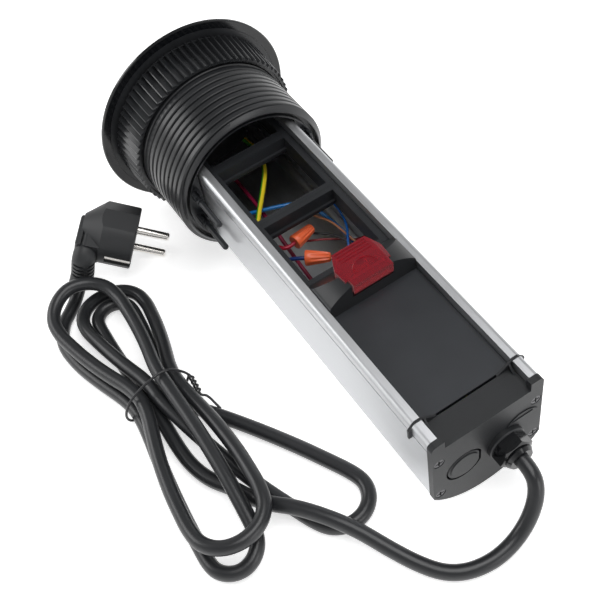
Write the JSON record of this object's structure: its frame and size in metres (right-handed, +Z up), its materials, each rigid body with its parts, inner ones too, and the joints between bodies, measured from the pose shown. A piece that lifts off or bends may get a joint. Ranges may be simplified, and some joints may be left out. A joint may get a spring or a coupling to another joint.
{
  "type": "mini power column",
  "caption": "Pop-up socket column with an aluminium channel, a row of empty module bays, a threaded worktop collar with flange and clamping nut, and a hanked lead with an angled plug.",
  "frame": {"origin": "middle of the column's box without its lead, on the surface that it lies on", "axes": "+X from the flange along the column to the cable end, +Y across it away from the lead's hank, +Z up; the column lies with its open side up, on the flange's rim and the end cap's back"},
  "size_m": [0.3187, 0.1991, 0.1198],
  "materials": {
    "brushed_channel": "satin",
    "black_shell": "fine texture",
    "black_gloss": "gloss",
    "red_tint": "clear tint",
    "bright_steel": "bright",
    "dark_steel": "blackened",
    "black_cord": "satin",
    "yellow_green": "satin",
    "blue_wire": "satin",
    "red_wire": "satin",
    "copper_wire": "satin",
    "black_wire": "satin",
    "orange_cap": "satin",
    "tie_coat": "satin",
    "black_rubber": "satin",
    "nickel_pins": "satin nickel"
  },
  "bodies": {
    "column": {"column_profile": "brushed_channel", "top_cap": "black_shell", "module_frame_1": "black_shell", "module_frame_2": "black_shell", "module_frame_3": "black_shell", "latch_bridge": "black_shell", "latch_spring": "bright_steel", "blank_cover": "black_shell", "end_cap": "black_shell", "end_cap_screws": "dark_steel", "blanking_plug": "black_shell", "exit_insert": "black_shell", "gland_body": "black_shell", "gland_nut": "black_gloss", "gland_back_nut": "black_shell", "sheath_end": "black_cord", "earth_wire": "yellow_green", "neutral_wire": "blue_wire", "live_wire": "red_wire", "splice_wire_red": "red_wire", "splice_wire_blue": "blue_wire", "link_wire_1": "blue_wire", "link_wire_2": "copper_wire", "link_wire_3": "black_wire", "link_wire_4": "red_wire", "wire_nut_1": "orange_cap", "wire_nut_2": "orange_cap", "cord_lead": "black_cord", "cord_hank": "black_cord", "cord_tail": "black_cord", "twist_tie": "tie_coat", "plug_body": "black_rubber", "plug_pins": "nickel_pins", "plug_earth_contacts": "nickel_pins"},
    "collar": {"flange_ring": "black_gloss", "threaded_collar": "black_shell", "guide_pins": "black_shell"},
    "washer": {"nut_washer": "black_shell"},
    "nut": {"clamping_nut": "black_shell"},
    "latch": {"latch_button": "red_tint"}
  },
  "joints": [
    {"name": "collar_slide", "type": "slide", "parent": "column", "child": "collar", "axis": [0.9969, 0, -0.0786], "range_m": [0, 0.1905]},
    {"name": "nut_travel", "type": "slide", "parent": "collar", "child": "washer", "axis": [0.9969, 0, -0.0786], "range_m": [0, 0.0401]},
    {"name": "nut_turn", "type": "hinge", "parent": "washer", "child": "nut", "pos_m": [-0.12655, 0, 0.05878], "axis": [0.9969, 0, -0.0786], "range_deg": [0, 3200]},
    {"name": "latch_press", "type": "slide", "parent": "column", "child": "latch", "axis": [-0.0786, 0, -0.9969], "range_m": [0, 0.003], "stiffness_N_per_m": 500, "springref_m": -0.0005, "deforming": ["latch_spring"]}
  ],
  "couplings": [
    {"joint": "nut_travel", "follows": "nut_turn", "m_per_rad": 0.0007162}
  ]
}
